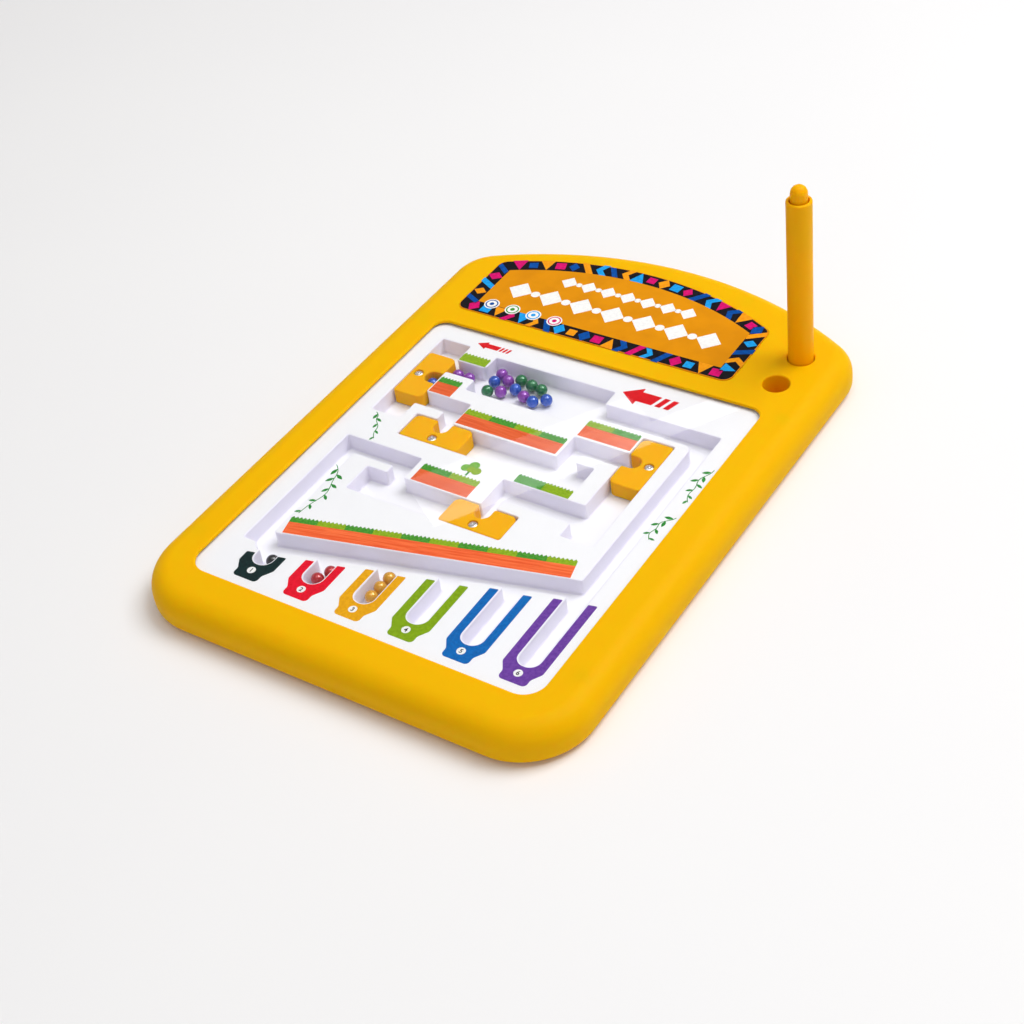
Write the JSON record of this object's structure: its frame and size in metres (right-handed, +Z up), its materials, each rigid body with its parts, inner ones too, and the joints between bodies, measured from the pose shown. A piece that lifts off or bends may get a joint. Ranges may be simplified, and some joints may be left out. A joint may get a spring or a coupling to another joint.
{
  "type": "magnetic maze board",
  "caption": "Flat board with an arched header: a maze of channels and slots under a clear window, shuttle gates, loose steel balls and a magnet pen in a socket.",
  "frame": {"origin": "middle of the board's outline, on the surface it lies on", "axes": "+X to the user's right, +Y away from the user to the arched header, +Z up out of the board"},
  "size_m": [0.261, 0.367, 0.1318],
  "materials": {
    "yellow_plastic": "satin moulded plastic",
    "tray_plastic": "white moulded plastic",
    "clear_sheet": "clear plastic sheet, glossy",
    "label_card": "printed card",
    "screw_steel": "bright zinc-plated steel",
    "magnet": "plain ferrite",
    "ball_purple": "glossy coloured steel",
    "ball_blue": "glossy coloured steel",
    "ball_green": "glossy coloured steel",
    "ball_black": "glossy coloured steel",
    "ball_red": "glossy coloured steel",
    "ball_gold": "glossy coloured steel"
  },
  "bodies": {
    "board": {"top_frame": "yellow_plastic", "back_cover": "yellow_plastic", "back_screw_1": "screw_steel", "back_screw_2": "screw_steel", "back_screw_3": "screw_steel", "back_screw_4": "screw_steel", "back_screw_5": "screw_steel", "back_screw_6": "screw_steel", "clear_window": "clear_sheet", "header_label": "label_card", "maze_floor": "tray_plastic", "near_wall": "tray_plastic", "left_wall": "tray_plastic", "right_wall": "tray_plastic", "far_wall": "tray_plastic", "middle_wall_left": "tray_plastic", "middle_wall_right": "tray_plastic", "island_wall_start": "tray_plastic", "island_wall_return": "tray_plastic", "island_wall_lower": "tray_plastic"},
    "gate_1_body": {"gate_1": "yellow_plastic", "gate_screw_1": "screw_steel"},
    "gate_2_body": {"gate_2": "yellow_plastic", "gate_screw_2": "screw_steel"},
    "gate_3_body": {"gate_3": "yellow_plastic", "gate_screw_3": "screw_steel"},
    "gate_4_body": {"gate_4": "yellow_plastic", "gate_screw_4": "screw_steel"},
    "pen": {"pen_barrel": "yellow_plastic", "pen_nub": "yellow_plastic", "pen_magnet": "magnet"},
    "ball_purple_1": {"ball_purple_1": "ball_purple"},
    "ball_purple_2": {"ball_purple_2": "ball_purple"},
    "ball_purple_3": {"ball_purple_3": "ball_purple"},
    "ball_purple_4": {"ball_purple_4": "ball_purple"},
    "ball_blue_1": {"ball_blue_1": "ball_blue"},
    "ball_blue_2": {"ball_blue_2": "ball_blue"},
    "ball_blue_3": {"ball_blue_3": "ball_blue"},
    "ball_blue_4": {"ball_blue_4": "ball_blue"},
    "ball_green_1": {"ball_green_1": "ball_green"},
    "ball_green_2": {"ball_green_2": "ball_green"},
    "ball_green_3": {"ball_green_3": "ball_green"},
    "ball_green_4": {"ball_green_4": "ball_green"},
    "ball_purple_5": {"ball_purple_5": "ball_purple"},
    "ball_purple_6": {"ball_purple_6": "ball_purple"},
    "ball_blue_5": {"ball_blue_5": "ball_blue"},
    "ball_black_1": {"ball_black_1": "ball_black"},
    "ball_red_1": {"ball_red_1": "ball_red"},
    "ball_red_2": {"ball_red_2": "ball_red"},
    "ball_gold_1": {"ball_gold_1": "ball_gold"},
    "ball_gold_2": {"ball_gold_2": "ball_gold"},
    "ball_gold_3": {"ball_gold_3": "ball_gold"}
  },
  "joints": [
    {"name": "gate_1_slide", "type": "slide", "parent": "board", "child": "gate_1_body", "axis": [0, 1, 0], "range_m": [-0.0192, 0.0132]},
    {"name": "gate_2_slide", "type": "slide", "parent": "board", "child": "gate_2_body", "axis": [1, 0, 0], "range_m": [0, 0.0754]},
    {"name": "gate_3_slide", "type": "slide", "parent": "board", "child": "gate_3_body", "axis": [0, 1, 0], "range_m": [-0.0466, 0]},
    {"name": "gate_4_slide", "type": "slide", "parent": "board", "child": "gate_4_body", "axis": [1, 0, 0], "range_m": [-0.0584, 0]},
    {"name": "pen_lift", "type": "slide", "parent": "board", "child": "pen", "axis": [0, 0, 1], "range_m": [0, 0.04]},
    {"name": "ball_purple_1_roll", "type": "slide", "parent": "board", "child": "ball_purple_1", "axis": [-0.8, 0.6, 0], "range_m": [0, 0.0036]},
    {"name": "ball_purple_2_roll", "type": "slide", "parent": "board", "child": "ball_purple_2", "axis": [0.0599, -0.9982, 0], "range_m": [0, 0.0082]},
    {"name": "ball_purple_3_roll", "type": "slide", "parent": "board", "child": "ball_purple_3", "axis": [0.0599, -0.9982, 0], "range_m": [0, 0.0082]},
    {"name": "ball_purple_4_roll", "type": "slide", "parent": "board", "child": "ball_purple_4", "axis": [-0.0995, -0.995, 0], "range_m": [0, 0.005]},
    {"name": "ball_blue_1_roll", "type": "slide", "parent": "board", "child": "ball_blue_1", "axis": [0, -1, 0], "range_m": [0, 0.0057]},
    {"name": "ball_blue_2_roll", "type": "slide", "parent": "board", "child": "ball_blue_2", "axis": [0.11, -0.9939, 0], "range_m": [0, 0.0133]},
    {"name": "ball_blue_3_roll", "type": "slide", "parent": "board", "child": "ball_blue_3", "axis": [0.8629, -0.5054, 0], "range_m": [0, 0.0158]},
    {"name": "ball_blue_4_roll", "type": "slide", "parent": "board", "child": "ball_blue_4", "axis": [1, 0, 0], "range_m": [0, 0.1025]},
    {"name": "ball_green_1_roll", "type": "slide", "parent": "board", "child": "ball_green_1", "axis": [0.9985, 0.0549, 0], "range_m": [0, 0.039]},
    {"name": "ball_green_2_roll", "type": "slide", "parent": "board", "child": "ball_green_2", "axis": [0.9985, 0.0549, 0], "range_m": [0, 0.039]},
    {"name": "ball_green_3_roll", "type": "slide", "parent": "board", "child": "ball_green_3", "axis": [0.9985, 0.0549, 0], "range_m": [0, 0.039]},
    {"name": "ball_green_4_roll", "type": "slide", "parent": "board", "child": "ball_green_4", "axis": [0, -1, 0], "range_m": [0, 0.0057]},
    {"name": "ball_purple_5_roll", "type": "slide", "parent": "board", "child": "ball_purple_5", "axis": [1, 0, 0], "range_m": [0, 0.008]},
    {"name": "ball_purple_6_roll", "type": "slide", "parent": "board", "child": "ball_purple_6", "axis": [1, 0, 0], "range_m": [0, 0.008]},
    {"name": "ball_blue_5_roll", "type": "slide", "parent": "gate_1_body", "child": "ball_blue_5", "axis": [1, 0, 0], "range_m": [0, 0.0011]},
    {"name": "ball_black_1_roll", "type": "slide", "parent": "board", "child": "ball_black_1", "axis": [0, 1, 0], "range_m": [-0.0031, 0.0115]},
    {"name": "ball_red_1_roll", "type": "slide", "parent": "board", "child": "ball_red_1", "axis": [0, 1, 0], "range_m": [-0.004, 0.0126]},
    {"name": "ball_red_2_roll", "type": "slide", "parent": "board", "child": "ball_red_2", "axis": [0, 1, 0], "range_m": [-0.004, 0.0126]},
    {"name": "ball_gold_1_roll", "type": "slide", "parent": "board", "child": "ball_gold_1", "axis": [0, 1, 0], "range_m": [-0.0035, 0.0105]},
    {"name": "ball_gold_2_roll", "type": "slide", "parent": "board", "child": "ball_gold_2", "axis": [0, 1, 0], "range_m": [-0.0035, 0.0105]},
    {"name": "ball_gold_3_roll", "type": "slide", "parent": "board", "child": "ball_gold_3", "axis": [0, 1, 0], "range_m": [-0.0035, 0.0105]}
  ],
  "couplings": [
    {"joint": "ball_purple_2_roll", "follows": "ball_purple_3_roll", "ratio": 1},
    {"joint": "ball_blue_1_roll", "follows": "ball_green_4_roll", "ratio": 1},
    {"joint": "ball_green_1_roll", "follows": "ball_green_3_roll", "ratio": 1},
    {"joint": "ball_green_2_roll", "follows": "ball_green_3_roll", "ratio": 1},
    {"joint": "ball_purple_5_roll", "follows": "ball_purple_6_roll", "ratio": 1},
    {"joint": "ball_red_1_roll", "follows": "ball_red_2_roll", "ratio": 1},
    {"joint": "ball_gold_1_roll", "follows": "ball_gold_3_roll", "ratio": 1},
    {"joint": "ball_gold_2_roll", "follows": "ball_gold_3_roll", "ratio": 1}
  ]
}
